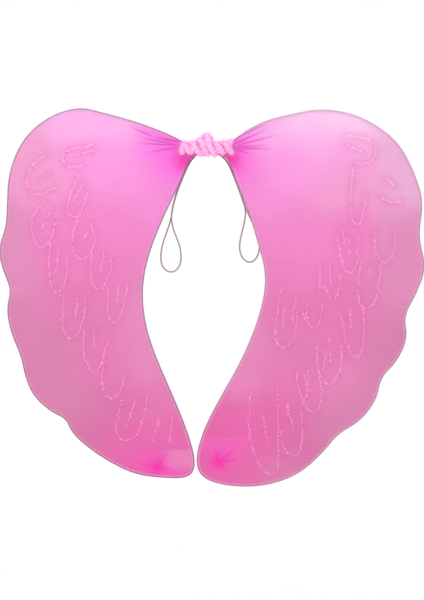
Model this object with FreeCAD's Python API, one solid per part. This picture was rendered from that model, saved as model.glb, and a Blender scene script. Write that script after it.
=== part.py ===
"""Fairy wings: two wire-framed nylon wings on a fluffy hub, with two elastic shoulder loops.

Millimetres, +Z up. The wings stand in a plane behind which the wearer stands, at +Y.
The origin is on the back of the hub, where it rests between the wearer's shoulder blades.
"""
import FreeCAD, Part
import math
import os

from FreeCAD import Placement, Rotation, Vector

# Driving sizes
WIRE_RADIUS = 1.0
NYLON_SKIN = 0.3
FLUFF_RADIUS = 9.0
NECK_FLUFF_RADIUS = 8.5
ELASTIC_RADIUS = 0.9
GAP = 0.5
ARC_SHARE = 0.45

# The wings' plane is the hub's axis, so the fluffy strip's back is at Y = 0
WING_Y = -FLUFF_RADIUS
PLATE_HALF = WIRE_RADIUS + NYLON_SKIN
WING_FRONT_Y = WING_Y - PLATE_HALF
WING_BACK_Y = WING_Y + PLATE_HALF

# Each wing folds about an upright line at the end of the hub
HINGE_X = {"left": -19.0, "right": 20.0}
OUTWARD = {"left": -1, "right": 1}
SIDES = ("left", "right")
HUB_LEFT = HINGE_X["left"] + NECK_FLUFF_RADIUS + GAP
HUB_RIGHT = HINGE_X["right"] - NECK_FLUFF_RADIUS - GAP

# The wire loop of each wing as (X, Z) corners, from the hub over the top, round the outer
# scallops, along the lower tip and up the inner edge to the hub. Arcs round every corner.
WING_ROUTE = {
    "left": [
        (-19, 2), (-28, 7), (-38, 13), (-54, 20), (-77, 29), (-104, 37), (-127, 43), (-147, 48),
        (-168, 45), (-192, 34), (-213, 16), (-227, -8), (-235, -36), (-236, -68), (-237, -92),
        (-247, -120), (-240, -146), (-231, -167), (-237, -190), (-231, -219), (-219, -246),
        (-215, -268), (-206, -291), (-186, -310), (-166, -319), (-160, -335), (-142, -352),
        (-117, -369), (-85, -385), (-50, -389), (-22, -389), (-14, -375), (-20, -347),
        (-33, -312), (-47, -280), (-62, -245), (-73, -213), (-78, -176), (-75, -144),
        (-66, -113), (-51, -77), (-37, -49), (-28, -26), (-22, -11), (-19, -2),
    ],
    "right": [
        (20, 2), (29, 8), (39, 15), (52, 24), (71, 33), (98, 40), (134, 47), (170, 42),
        (200, 28), (227, 6), (244, -26), (256, -62), (249, -104), (259, -139), (248, -170),
        (232, -198), (237, -224), (224, -252), (205, -270), (200, -297), (181, -322),
        (154, -337), (137, -359), (107, -386), (67, -399), (25, -399), (-7, -389), (-13, -367),
        (-3, -332), (17, -294), (39, -256), (56, -218), (68, -180), (71, -146), (60, -107),
        (50, -73), (38, -44), (29, -20), (22, -8), (20, -2),
    ],
}

# The bunched root of each stocking: a fan that points outward and down from the fold line,
# as (distance, half width, half thickness) of its oval sections
ROOT_DIP = 20.0
ROOT_LENGTH = 12.0
ROOT_SECTIONS = [(0.0, 4.6, 4.5), (4.0, 10.2, 3.4), (ROOT_LENGTH, 17.0, PLATE_HALF)]
THREAD_FROM = 2.0
THREAD_TO = 3.6
THREAD_THICKNESS = 0.6
NECK_FLUFF_END = {"left": -36.5, "right": 34.5}

# Inside the hub
WIRE_SPACING = 2.1
TAPE_INNER = 2.6
TAPE_OUTER = 3.6
TAPE_SET_BACK = 0.6
KNOT_RADIUS = 2.8
KNOT_CENTRE = {"left": Vector(-7.0, 4.7, 0.0), "right": Vector(8.0, 4.7, 0.0)}

# Each shoulder loop's elastic as (X, Y, Z) corners, from its knot down behind the wing's inner
# edge, round the loop that hangs free, and back up beside itself to the knot
STRAP_ROUTE = {
    "left": [
        (-8, 3.6, -1.5), (-15, 3.6, -7), (-23, 3.6, -16), (-32, 3.6, -33),
        (-38.5, 3.6, -51), (-42, 3.6, -67), (-43.5, 3.6, -83), (-39.5, 3.8, -97),
        (-34.5, 4.0, -109), (-31, 4.2, -121), (-31, 4.4, -135), (-37, 4.6, -145),
        (-46, 4.8, -146), (-54, 5.0, -139), (-55.5, 5.2, -126), (-53, 5.4, -112),
        (-48, 5.6, -98), (-43, 5.8, -83), (-41.5, 5.8, -67), (-38, 5.8, -51),
        (-31.5, 5.8, -33), (-23, 5.8, -16), (-15, 5.8, -7), (-8, 5.8, -1.5),
    ],
    "right": [
        (9, 3.6, -1.5), (16, 3.6, -6), (25, 3.6, -13), (32, 3.6, -26),
        (38.5, 3.6, -43), (43.5, 3.6, -59), (48, 3.6, -73), (54, 3.8, -87),
        (60, 4.0, -98), (63, 4.2, -111), (61.5, 4.5, -125), (55, 4.8, -134),
        (46, 5.0, -133.5), (39.5, 5.2, -125), (38.5, 5.4, -113), (41, 5.6, -100),
        (44.5, 5.8, -87), (47, 5.8, -73), (43, 5.8, -59), (38, 5.8, -43),
        (31.5, 5.8, -26), (25, 5.8, -13), (16, 5.8, -6), (9, 5.8, -1.5),
    ],
}

# The stocking's toe, bunched and tied at the lower tip of each wing, on the back of the wing,
# as (radius, distance off the wing's back)
TIP_CENTRE = {"left": (-59.0, -377.0), "right": (13.0, -371.0)}
TIP_PROFILE = [(6.5, 0.0), (2.2, 1.8), (2.2, 3.2), (5.0, 5.6)]
TIP_THREAD_RADIUS = 2.9
TIP_THREAD_SPAN = (1.9, 3.1)

# Glitter glue, drawn as nested feathers. Each line is (X, Z) corners; two corners are a dash.
BEAD_HALF_WIDTH = 0.8
BEAD_HEIGHT = 0.5
GLITTER = {
    "left": [
        [(-191, -7), (-214, -23), (-212, -53), (-197, -56), (-180, -46)], [(-187, -28), (-199, -39)],
        [(-134, 5), (-162, 1), (-174, -8), (-164, -25), (-146, -19)], [(-134, -2), (-155, -8)],
        [(-150, -28), (-167, -63), (-165, -82), (-148, -79), (-141, -51)],
        [(-146, -41), (-158, -63)],
        [(-192, -62), (-206, -76), (-207, -103), (-194, -120), (-180, -101), (-179, -85)],
        [(-182, -70), (-197, -97)],
        [(-152, -79), (-161, -108), (-150, -134), (-135, -124), (-130, -103), (-137, -86)],
        [(-142, -99), (-146, -110)],
        [(-185, -110), (-190, -143), (-180, -173), (-165, -160), (-164, -130)],
        [(-175, -117), (-179, -145)],
        [(-136, -116), (-140, -146), (-131, -172), (-116, -160), (-113, -131)],
        [(-121, -123), (-128, -150)],
        [(-169, -172), (-173, -209), (-162, -229), (-146, -212), (-143, -181)],
        [(-153, -171), (-156, -201)],
        [(-116, -159), (-120, -193), (-109, -209), (-97, -191), (-94, -159)],
        [(-104, -160), (-107, -184)],
        [(-145, -209), (-149, -241), (-136, -269), (-121, -252), (-117, -226)],
        [(-133, -210), (-134, -235)],
        [(-122, -254), (-126, -283), (-114, -299), (-100, -286), (-97, -268)],
        [(-101, -296), (-111, -333), (-98, -350), (-76, -338), (-71, -292)],
        [(-85, -299), (-95, -328)], [(-57, -320), (-64, -345)], [(-41, -308), (-44, -348)],
    ],
    "right": [
        [(165, 15), (188, 14), (203, -1), (192, -20), (175, -17)], [(166, 5), (184, -4)],
        [(205, -56), (218, -68), (231, -62)], [(212, -34), (222, -44)],
        [(173, -23), (166, -75), (184, -97), (188, -53)],
        [(154, -108), (158, -139), (172, -152), (180, -129), (179, -104)],
        [(160, -95), (164, -116)],
        [(198, -97), (198, -127), (214, -140), (226, -113), (222, -95)],
        [(182, -134), (179, -169), (188, -194), (205, -173), (204, -133)],
        [(193, -134), (193, -150)],
        [(89, -162), (75, -224), (89, -238), (105, -224), (107, -191)],
        [(113, -193), (120, -214), (135, -210), (136, -185)],
        [(140, -160), (146, -184), (158, -169), (158, -146)],
        [(159, -198), (164, -236), (177, -249), (188, -228), (185, -187)],
        [(169, -187), (171, -217)],
        [(130, -233), (130, -269), (146, -284), (160, -260), (159, -231)],
        [(146, -220), (146, -255)],
        [(107, -264), (110, -300), (127, -316), (137, -294), (132, -262)],
        [(120, -262), (121, -289)],
        [(87, -332), (91, -356), (109, -365), (115, -342), (113, -314)], [(94, -300), (102, -332)],
        [(52, -286), (47, -326), (60, -374), (79, -386), (88, -366), (83, -286)],
        [(66, -318), (72, -346)],
    ],
}


def unit(vector):
    """The vector's direction, one millimetre long."""
    return vector / vector.Length


def route(points, name=None):
    """Straight runs through the points, joined by the largest tangent arcs that fit."""
    here = points[0]
    edges = []
    radii = []
    for before, corner, after in zip(points, points[1:], points[2:]):
        back = unit(before - corner)
        ahead = unit(after - corner)
        half_turn = (math.pi - back.getAngle(ahead)) / 2
        reach = ARC_SHARE * min((before - corner).Length, (after - corner).Length)
        radius = reach / math.tan(half_turn)
        inward = radius / math.cos(half_turn) - radius
        start = corner + back * reach
        middle = corner + unit(back + ahead) * inward
        end = corner + ahead * reach
        edges.append(Part.LineSegment(here, start).toShape())
        edges.append(Part.Arc(start, middle, end).toShape())
        radii.append(radius)
        here = end
    edges.append(Part.LineSegment(here, points[-1]).toShape())
    if name:
        print(name, "radii", " ".join(f"{radius:.1f}" for radius in radii))
    return Part.Wire(edges)


def tube(path, radius):
    """A round bar along a path."""
    start = path.Edges[0].valueAt(path.Edges[0].FirstParameter)
    along = path.Edges[0].tangentAt(path.Edges[0].FirstParameter)
    ring = Part.Wire(Part.Circle(start, along, radius).toShape())
    return path.makePipeShell([ring], True, False)


def rod(start, end, radius):
    """A straight round bar between two points."""
    return Part.makeCylinder(radius, (end - start).Length, start, end - start)


def in_wing_plane(corners, y=WING_Y):
    """(X, Z) corners as points of the wings' plane, or of one beside it."""
    return [Vector(x, y, z) for x, z in corners]


def wing_frame(side):
    """Where the bunched root starts: its X axis points out of the hub and its Y stays the wing's."""
    dip = math.radians(ROOT_DIP)
    out = Vector(OUTWARD[side] * math.cos(dip), 0, -math.sin(dip))
    return Placement(Vector(HINGE_X[side], WING_Y, 0), Rotation(Vector(1, 0, 0), out))


def wing_plate(path, spread):
    """The flat body that the wire loop encloses, thickened and widened by the same amount."""
    closing = Part.LineSegment(path.Edges[-1].Vertexes[-1].Point, path.Edges[0].Vertexes[0].Point)
    outline = Part.Wire(path.Edges + [closing.toShape()])
    face = Part.Face(outline).makeOffset2D(spread)
    face.translate(Vector(0, -spread, 0))
    return face.extrude(Vector(0, 2 * spread, 0))


def wing_nylon(side, path):
    """The stocking over the wire loop: a thin hollow plate, open where the bunched root begins."""
    mouth = Part.makeBox(80, 40, 80, Vector(ROOT_LENGTH - 80, -20, -40))
    mouth.Placement = wing_frame(side).multiply(mouth.Placement)
    shell = wing_plate(path, PLATE_HALF).cut(wing_plate(path, WIRE_RADIUS))
    pieces = shell.cut(mouth).Solids
    return max(pieces, key=lambda piece: piece.Volume)


def oval(distance, half_width, half_thickness):
    """One section of the bunched root, across its own X axis."""
    centre = Vector(distance, 0, 0)
    wide = Vector(distance, 0, half_width)
    thick = Vector(distance, half_thickness, 0)
    return Part.Wire(Part.Ellipse(wide, thick, centre).toShape())


def root_fan(side, grow=0.0):
    """The outside of the bunched root, or of a layer over it."""
    sections = [oval(d, w + grow, t + grow) for d, w, t in ROOT_SECTIONS]
    fan = Part.makeLoft(sections, True, False)
    fan.Placement = wing_frame(side)
    return fan


def root_thread(side):
    """Thread wound round the bunched root near the hub."""
    slab = Part.makeBox(THREAD_TO - THREAD_FROM, 60, 60, Vector(THREAD_FROM, -30, -30))
    slab.Placement = wing_frame(side).multiply(slab.Placement)
    return root_fan(side, THREAD_THICKNESS).common(slab).cut(root_fan(side))


def neck_fluff(side, inside):
    """The end of the fluffy strip: a round-ended barrel over the bunched root."""
    ball_centre = Vector(HINGE_X[side], WING_Y, 0)
    end = Vector(NECK_FLUFF_END[side], WING_Y, 0)
    barrel = rod(ball_centre, end, NECK_FLUFF_RADIUS)
    ball = Part.makeSphere(NECK_FLUFF_RADIUS, ball_centre)
    return barrel.fuse(ball).removeSplitter().cut(inside)


def half_round_bead(corners):
    """A line of dried glue on the front of the wing, half round in section."""
    path = route(in_wing_plane(corners, WING_FRONT_Y))
    start = path.Edges[0].valueAt(path.Edges[0].FirstParameter)
    along = path.Edges[0].tangentAt(path.Edges[0].FirstParameter)
    across = along.cross(Vector(0, 1, 0)) * BEAD_HALF_WIDTH
    crest = start - Vector(0, BEAD_HEIGHT, 0)
    top = Part.Arc(start - across, crest, start + across).toShape()
    base = Part.LineSegment(start + across, start - across).toShape()
    return path.makePipeShell([Part.Wire([top, base])], True, False)


def turned(profile, centre, y):
    """A solid turned about an axis across the wing, from (radius, distance off the wing) pairs."""
    x, z = centre
    outline = [Vector(x, y + profile[0][1], z)]
    outline += [Vector(x + radius, y + height, z) for radius, height in profile]
    outline.append(Vector(x, y + profile[-1][1], z))
    outline.append(outline[0])
    face = Part.Face(Part.makePolygon(outline))
    return face.revolve(Vector(x, y, z), Vector(0, 1, 0), 360)


def tip_thread(side):
    """Thread tied round the stocking's toe."""
    x, z = TIP_CENTRE[side]
    low, high = TIP_THREAD_SPAN
    start = Vector(x, WING_BACK_Y + low, z)
    end = Vector(x, WING_BACK_Y + high, z)
    return rod(start, end, TIP_THREAD_RADIUS).cut(rod(start, end, TIP_PROFILE[1][0]))


def elastic_hitch(side):
    """A turn of elastic round the taped wires, whose tail comes out at the back of the hub."""
    knot = KNOT_CENTRE[side]
    ring_radius = TAPE_OUTER + ELASTIC_RADIUS
    centre = Vector(knot.x, WING_Y, 0)
    ring = Part.makeTorus(ring_radius, ELASTIC_RADIUS, centre, Vector(1, 0, 0))
    tail_start = centre + Vector(0, ring_radius, 0)
    tail_end = knot - Vector(0, KNOT_RADIUS + GAP, 0)
    return ring.fuse(rod(tail_start, tail_end, ELASTIC_RADIUS)).removeSplitter()


def hitch_room(side):
    """The groove round the tape and the hole to the back that a hitch takes up in the fluff."""
    knot = KNOT_CENTRE[side]
    centre = Vector(knot.x, WING_Y, 0)
    half = Vector(ELASTIC_RADIUS, 0, 0)
    groove = rod(centre - half, centre + half, TAPE_OUTER + 2 * ELASTIC_RADIUS)
    return [groove, rod(centre, knot, ELASTIC_RADIUS)]


def hub_solids():
    """Everything that stays with the hub when the wings fold."""
    left_end = Vector(HUB_LEFT, WING_Y, 0)
    right_end = Vector(HUB_RIGHT, WING_Y, 0)
    inset = Vector(TAPE_SET_BACK, 0, 0)
    solids = {}
    for side in SIDES:
        beside = Vector(0, OUTWARD[side] * WIRE_SPACING / 2, 0)
        ends = []
        for above in (-WIRE_SPACING / 2, WIRE_SPACING / 2):
            offset = beside + Vector(0, 0, above)
            ends.append(rod(left_end + offset, right_end + offset, WIRE_RADIUS))
        solids[side + "_wire_ends"] = Part.makeCompound(ends)
        solids[side + "_elastic_hitch"] = elastic_hitch(side)
    tape_outside = rod(left_end + inset, right_end - inset, TAPE_OUTER)
    tape_inside = rod(left_end, right_end, TAPE_INNER)
    solids["hub_binding_tape"] = tape_outside.cut(tape_inside)
    fluff = rod(left_end, right_end, FLUFF_RADIUS)
    core = rod(left_end, right_end, TAPE_OUTER)
    solids["hub_fluffy_trim"] = fluff.cut([core] + hitch_room("left") + hitch_room("right"))
    return solids


def wing_solids(side):
    """One wing with its decoration, its bunched root and its tied toe."""
    path = route(in_wing_plane(WING_ROUTE[side]), side + "_wing_wire")
    wire = tube(path, WIRE_RADIUS)
    fan = root_fan(side)
    thread = root_thread(side).cut(wire)
    beads = [half_round_bead(corners) for corners in GLITTER[side]]
    return {
        side + "_wing_wire": wire,
        side + "_wing_nylon": wing_nylon(side, path),
        side + "_root_gather": fan.cut(wire),
        side + "_root_thread": thread,
        side + "_neck_fluff": neck_fluff(side, [fan, thread, wing_plate(path, PLATE_HALF)]),
        side + "_tip_gather": turned(TIP_PROFILE, TIP_CENTRE[side], WING_BACK_Y),
        side + "_tip_thread": tip_thread(side),
        side + "_glitter_lines": Part.makeCompound(beads),
    }


def strap_solids(side):
    """One shoulder loop and the knot that it hangs from."""
    name = side + "_shoulder_elastic"
    path = route([Vector(*corner) for corner in STRAP_ROUTE[side]], name)
    elastic = tube(path, ELASTIC_RADIUS)
    expected = math.pi * ELASTIC_RADIUS**2 * path.Length
    print(name, f"length {path.Length:.1f} mm, volume {elastic.Volume / expected:.3f} of section x length")
    knot = Part.makeSphere(KNOT_RADIUS, KNOT_CENTRE[side])
    return {name: elastic, side + "_elastic_knot": knot}


def main():
    os.makedirs("parts", exist_ok=True)
    solids = hub_solids()
    for side in SIDES:
        solids.update(wing_solids(side))
        solids.update(strap_solids(side))
    for node, shape in solids.items():
        print(node, len(shape.Solids), "solids, valid" if shape.isValid() else "solids, NOT VALID",
              f"{shape.Volume:.0f} mm3")
        shape.exportStep(f"parts/{node}.step")


main()
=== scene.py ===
"""How a pair of fairy wings looks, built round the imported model.

Shapes are worked out in millimetres, in the model's own frame, and become metres in the meshes.
"""

import math

import bpy
import numpy as np
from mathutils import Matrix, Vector
from mathutils.geometry import delaunay_2d_cdt


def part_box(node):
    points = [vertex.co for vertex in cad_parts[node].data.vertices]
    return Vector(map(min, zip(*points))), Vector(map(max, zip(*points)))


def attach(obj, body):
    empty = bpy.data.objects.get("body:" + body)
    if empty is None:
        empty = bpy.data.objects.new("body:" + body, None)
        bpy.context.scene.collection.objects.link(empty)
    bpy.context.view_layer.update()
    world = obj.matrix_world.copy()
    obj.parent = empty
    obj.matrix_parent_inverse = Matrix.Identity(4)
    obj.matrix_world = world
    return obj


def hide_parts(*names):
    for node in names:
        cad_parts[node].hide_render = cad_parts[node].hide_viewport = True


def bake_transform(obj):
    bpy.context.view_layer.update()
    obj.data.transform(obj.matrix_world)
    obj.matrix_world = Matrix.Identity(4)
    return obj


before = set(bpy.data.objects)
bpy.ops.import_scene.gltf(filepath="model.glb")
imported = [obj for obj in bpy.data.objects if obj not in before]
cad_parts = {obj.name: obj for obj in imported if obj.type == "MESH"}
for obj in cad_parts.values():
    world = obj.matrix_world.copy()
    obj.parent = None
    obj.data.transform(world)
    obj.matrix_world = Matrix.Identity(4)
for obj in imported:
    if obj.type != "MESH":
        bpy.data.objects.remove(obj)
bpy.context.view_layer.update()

MM = 0.001
SIDES = ("left", "right")
OUTWARD = {"left": -1, "right": 1}
UP = np.array([0.0, 0.0, 1.0])

# ---------------------------------------------------------------- sizes, in millimetres

WING_Y = (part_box("left_wing_nylon")[0].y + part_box("left_wing_nylon")[1].y) / 2 / MM
HINGE_X = {"left": -19.0, "right": 20.0}
WIRE_RADIUS = 1.0
WRAP_RADIUS = 1.15
WIRE_START_X = {"left": -7.0, "right": 8.0}

# Each wing's wire, from the hub over the top, round the outer scallops, along the lower tip
# and up the inner edge to the hub
WING_ROUTE = {
    "left": [
        (-19, 2), (-28, 7), (-38, 13), (-54, 20), (-77, 29), (-104, 37), (-127, 43), (-147, 48),
        (-168, 45), (-192, 34), (-213, 16), (-227, -8), (-235, -36), (-236, -68), (-237, -92),
        (-247, -120), (-240, -146), (-231, -167), (-237, -190), (-231, -219), (-219, -246),
        (-215, -268), (-206, -291), (-186, -310), (-166, -319), (-160, -335), (-142, -352),
        (-117, -369), (-85, -385), (-50, -389), (-22, -389), (-14, -375), (-20, -347),
        (-33, -312), (-47, -280), (-62, -245), (-73, -213), (-78, -176), (-75, -144),
        (-66, -113), (-51, -77), (-37, -49), (-28, -26), (-22, -11), (-19, -2),
    ],
    "right": [
        (20, 2), (29, 8), (39, 15), (52, 24), (71, 33), (98, 40), (134, 47), (170, 42),
        (200, 28), (227, 6), (244, -26), (256, -62), (249, -104), (259, -139), (248, -170),
        (232, -198), (237, -224), (224, -252), (205, -270), (200, -297), (181, -322),
        (154, -337), (137, -359), (107, -386), (67, -399), (25, -399), (-7, -389), (-13, -367),
        (-3, -332), (17, -294), (39, -256), (56, -218), (68, -180), (71, -146), (60, -107),
        (50, -73), (38, -44), (29, -20), (22, -8), (20, -2),
    ],
}

# Each shoulder loop's elastic, from its knot round the hanging loop and back to the knot
STRAP_ROUTE = {
    "left": [
        (-8, 3.6, -1.5), (-15, 3.6, -7.5), (-22, 3.6, -17), (-29.5, 3.6, -33),
        (-36.5, 3.6, -51), (-41, 3.6, -67), (-43, 3.6, -83), (-39.5, 3.8, -97),
        (-34.5, 4.0, -109), (-31, 4.2, -121), (-31, 4.4, -135), (-37, 4.6, -145),
        (-46, 4.8, -146), (-54, 5.0, -139), (-55.5, 5.2, -126), (-53, 5.4, -112),
        (-48, 5.6, -98), (-43, 5.8, -83), (-40.5, 5.8, -67), (-36, 5.8, -51),
        (-29, 5.8, -33), (-22, 5.8, -17), (-15, 5.8, -7.5), (-8, 5.8, -1.5),
    ],
    "right": [
        (9, 3.6, -1.5), (16, 3.6, -6.3), (24.3, 3.6, -14), (30.6, 3.6, -27),
        (37, 3.6, -43.5), (42.5, 3.6, -59), (47.5, 3.6, -73), (54, 3.8, -87),
        (60, 4.0, -98), (63, 4.2, -111), (61.5, 4.5, -125), (55, 4.8, -134),
        (46, 5.0, -133.5), (39.5, 5.2, -125), (38.5, 5.4, -113), (41, 5.6, -100),
        (44.5, 5.8, -87), (46.5, 5.8, -73), (42, 5.8, -59), (36.5, 5.8, -43.5),
        (30.1, 5.8, -27), (24.3, 5.8, -14), (16, 5.8, -6.3), (9, 5.8, -1.5),
    ],
}
ELASTIC_DIAMETER = 1.8

# The stocking leaves the wire near the hub, and its bunched end fills the corner below it
ROOT_START = {"left": [(-7, 3), (-19, 4)], "right": [(8, 3), (20, 4)]}
ROOT_END = {"left": [(-23.5, -17), (-17, -7), (-7, -3)], "right": [(26.5, -13), (18, -6), (8, -3)]}
ROOT_CORNERS_LEFT_OUT = 3

# The pulled folds that run out of each bunched root, as (from X, Z, to X, Z)
ROOT_FOLDS = {
    "left": [(-36, 8.5, -70, 16), (-66, 15, -97, 29.5), (-38, 4.5, -87, 7), (-37, 1.5, -74, -5),
             (-42, 6.5, -86, 14.5)],
    "right": [(36, 13, 76, 33), (35, 7, 76, 25), (37, 4.5, 88, 18), (37, 2.5, 76, 4.5),
              (38, 0.5, 81, 0), (36, -1, 53, -6.5)],
}

# Where each stocking's toe is bunched and tied, at the lower tip
TIP_CENTRE = {"left": (-59.0, -377.0), "right": (13.0, -371.0)}
TIP_RAYS = {
    "left": [(-57, -374, -46, -356), (-61, -377, -82, -370), (-57, -378, -38, -380)],
    "right": [(13, -371, 40, -350), (13, -371, 44, -366), (13, -371, 9, -352), (14, -372, 24, -384)],
}

# Glitter glue, drawn as nested feathers; two corners are a dash
GLITTER = {
    "left": [
        [(-191, -7), (-214, -23), (-212, -53), (-197, -56), (-180, -46)], [(-187, -28), (-199, -39)],
        [(-134, 5), (-162, 1), (-174, -8), (-164, -25), (-146, -19)], [(-134, -2), (-155, -8)],
        [(-150, -28), (-167, -63), (-165, -82), (-148, -79), (-141, -51)],
        [(-146, -41), (-158, -63)],
        [(-192, -62), (-206, -76), (-207, -103), (-194, -120), (-180, -101), (-179, -85)],
        [(-182, -70), (-197, -97)],
        [(-152, -79), (-161, -108), (-150, -134), (-135, -124), (-130, -103), (-137, -86)],
        [(-142, -99), (-146, -110)],
        [(-185, -110), (-190, -143), (-180, -173), (-165, -160), (-164, -130)],
        [(-175, -117), (-179, -145)],
        [(-136, -116), (-140, -146), (-131, -172), (-116, -160), (-113, -131)],
        [(-121, -123), (-128, -150)],
        [(-169, -172), (-173, -209), (-162, -229), (-146, -212), (-143, -181)],
        [(-153, -171), (-156, -201)],
        [(-116, -159), (-120, -193), (-109, -209), (-97, -191), (-94, -159)],
        [(-104, -160), (-107, -184)],
        [(-145, -209), (-149, -241), (-136, -269), (-121, -252), (-117, -226)],
        [(-133, -210), (-134, -235)],
        [(-122, -254), (-126, -283), (-114, -299), (-100, -286), (-97, -268)],
        [(-101, -296), (-111, -333), (-98, -350), (-76, -338), (-71, -292)],
        [(-85, -299), (-95, -328)], [(-57, -320), (-64, -345)], [(-41, -308), (-44, -348)],
    ],
    "right": [
        [(165, 15), (188, 14), (203, -1), (192, -20), (175, -17)], [(166, 5), (184, -4)],
        [(205, -56), (218, -68), (231, -62)], [(212, -34), (222, -44)],
        [(173, -23), (166, -75), (184, -97), (188, -53)],
        [(154, -108), (158, -139), (172, -152), (180, -129), (179, -104)],
        [(160, -95), (164, -116)],
        [(198, -97), (198, -127), (214, -140), (226, -113), (222, -95)],
        [(182, -134), (179, -169), (188, -194), (205, -173), (204, -133)],
        [(193, -134), (193, -150)],
        [(89, -162), (75, -224), (89, -238), (105, -224), (107, -191)],
        [(113, -193), (120, -214), (135, -210), (136, -185)],
        [(140, -160), (146, -184), (158, -169), (158, -146)],
        [(159, -198), (164, -236), (177, -249), (188, -228), (185, -187)],
        [(169, -187), (171, -217)],
        [(130, -233), (130, -269), (146, -284), (160, -260), (159, -231)],
        [(146, -220), (146, -255)],
        [(107, -264), (110, -300), (127, -316), (137, -294), (132, -262)],
        [(120, -262), (121, -289)],
        [(87, -332), (91, -356), (109, -365), (115, -342), (113, -314)], [(94, -300), (102, -332)],
        [(52, -286), (47, -326), (60, -374), (79, -386), (88, -366), (83, -286)],
        [(66, -318), (72, -346)],
        [(134, -140), (133, -170)], [(146, -134), (147, -162)], [(118, -180), (119, -202)],
        [(105, -176), (101, -204)], [(91, -186), (90, -212)], [(168, -104), (168, -124)],
        [(140, -240), (138, -262)], [(116, -268), (118, -296)],
    ],
}


# ---------------------------------------------------------------- small tools

def linear(hex_colour):
    """A colour written as RRGGBB, as linear light."""
    channels = [int(hex_colour[i:i + 2], 16) / 255 for i in (0, 2, 4)]
    return np.array([c / 12.92 if c <= 0.04045 else ((c + 0.055) / 1.055) ** 2.4 for c in channels])


def smooth(value, low, high):
    """0 below low, 1 above high, and an even S between."""
    t = np.clip((value - low) / (high - low), 0.0, 1.0)
    return t * t * (3 - 2 * t)


def mix(a, b, share):
    """Colours a turned into b by a share for each point."""
    return a * (1 - share[:, None]) + b * share[:, None]


def link(obj):
    bpy.context.scene.collection.objects.link(obj)
    return obj


def mesh_piece(name, points, faces, material, colours=None):
    """A smooth mesh from points in millimetres, with its colours and resting places as attributes."""
    points = np.asarray(points, float)
    mesh = bpy.data.meshes.new(name)
    mesh.from_pydata((points * MM).tolist(), [], faces)
    mesh.polygons.foreach_set("use_smooth", [True] * len(mesh.polygons))
    mesh.materials.append(material)
    rest = mesh.attributes.new("rest", "FLOAT_VECTOR", "POINT")
    rest.data.foreach_set("vector", (points * MM).ravel())
    if colours is not None:
        tints = np.ones((len(points), 4))
        tints[:, :colours.shape[1]] = colours
        tint = mesh.attributes.new("tint", "FLOAT_COLOR", "POINT")
        tint.data.foreach_set("color", tints.ravel())
    mesh.update()
    return link(bpy.data.objects.new(name, mesh))


def nurbs(name, corners, resolution=8):
    """A curve object with one smooth spline led by its corners, in millimetres."""
    data = bpy.data.curves.new(name, "CURVE")
    data.dimensions = "3D"
    data.resolution_u = resolution
    spline = data.splines.new("NURBS")
    spline.points.add(len(corners) - 1)
    for point, corner in zip(spline.points, corners):
        point.co = [value * MM for value in corner] + [1]
    spline.order_u = 3
    spline.use_endpoint_u = True
    return link(bpy.data.objects.new(name, data))


def along(corners, step):
    """Evenly spaced points on the smooth line that the corners lead, in millimetres."""
    if len(corners) == 2:
        line = np.array(corners, float)
    else:
        curve = nurbs("line", corners)
        mesh = bpy.data.meshes.new_from_object(curve)
        line = np.array([v.co for v in mesh.vertices]) / MM
        data = curve.data
        bpy.data.objects.remove(curve)
        bpy.data.curves.remove(data)
        bpy.data.meshes.remove(mesh)
    lengths = np.linalg.norm(np.diff(line, axis=0), axis=1)
    reach = np.concatenate([[0], np.cumsum(lengths)])
    stops = np.linspace(0, reach[-1], max(2, int(reach[-1] / step) + 1))
    return np.stack([np.interp(stops, reach, line[:, i]) for i in range(line.shape[1])], axis=1)


def on_wing(corners, step):
    """The same for corners given as (X, Z) in the wings' plane."""
    return along([(x, WING_Y, z) for x, z in corners], step)


def directions(line):
    """Unit tangents of a line of points."""
    tangents = np.gradient(line, axis=0)
    return tangents / np.linalg.norm(tangents, axis=1)[:, None]


def carried_frames(line):
    """For each point, two directions across the line that turn as little as they can along it."""
    tangents = directions(line)
    first = np.cross(tangents[0], [0.31, 0.87, 0.38])
    first /= np.linalg.norm(first)
    across = [first]
    for tangent in tangents[1:]:
        carried = across[-1] - tangent * across[-1].dot(tangent)
        across.append(carried / np.linalg.norm(carried))
    across = np.array(across)
    return tangents, across, np.cross(tangents, across)


def tube(line, radius, sides, flat=1.0, frames=None):
    """Points and faces of a closed round bar. radius is one number or one for each point."""
    _, across, beside = frames or carried_frames(line)
    radius = np.broadcast_to(radius, len(line))
    angles = np.arange(sides) * 2 * math.pi / sides
    ring = across[:, None] * np.cos(angles)[None, :, None]
    ring = ring + beside[:, None] * np.sin(angles)[None, :, None] * flat
    points = (line[:, None] + ring * radius[:, None, None]).reshape(-1, 3)
    faces = []
    for i in range(len(line) - 1):
        for j in range(sides):
            k = (j + 1) % sides
            faces.append((i * sides + j, i * sides + k, (i + 1) * sides + k, (i + 1) * sides + j))
    faces.append(tuple(reversed(range(sides))))
    faces.append(tuple(range((len(line) - 1) * sides, len(line) * sides)))
    return points, faces


def joined(shapes):
    """Several (points, faces) as one."""
    points = np.concatenate([p for p, _ in shapes])
    faces = []
    start = 0
    for p, f in shapes:
        faces += [tuple(start + i for i in face) for face in f]
        start += len(p)
    return points, faces


# ---------------------------------------------------------------- materials

def material(name):
    """An empty node material."""
    made = bpy.data.materials.new(name)
    made.use_nodes = True
    made.node_tree.nodes.clear()
    return made


def node(made, kind, settings=None, **inputs):
    """Adds a node; inputs are values or the sockets that feed them, by name with _ for a space."""
    added = made.node_tree.nodes.new(kind)
    for key, value in (settings or {}).items():
        setattr(added, key, value)
    for key, value in inputs.items():
        name = key.replace("_", " ")
        socket = added.inputs[int(key[1:])] if key[0] == "i" and key[1:].isdigit() else added.inputs[name]
        if isinstance(value, bpy.types.NodeSocket):
            made.node_tree.links.new(value, socket)
        else:
            socket.default_value = value
    return added


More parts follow.
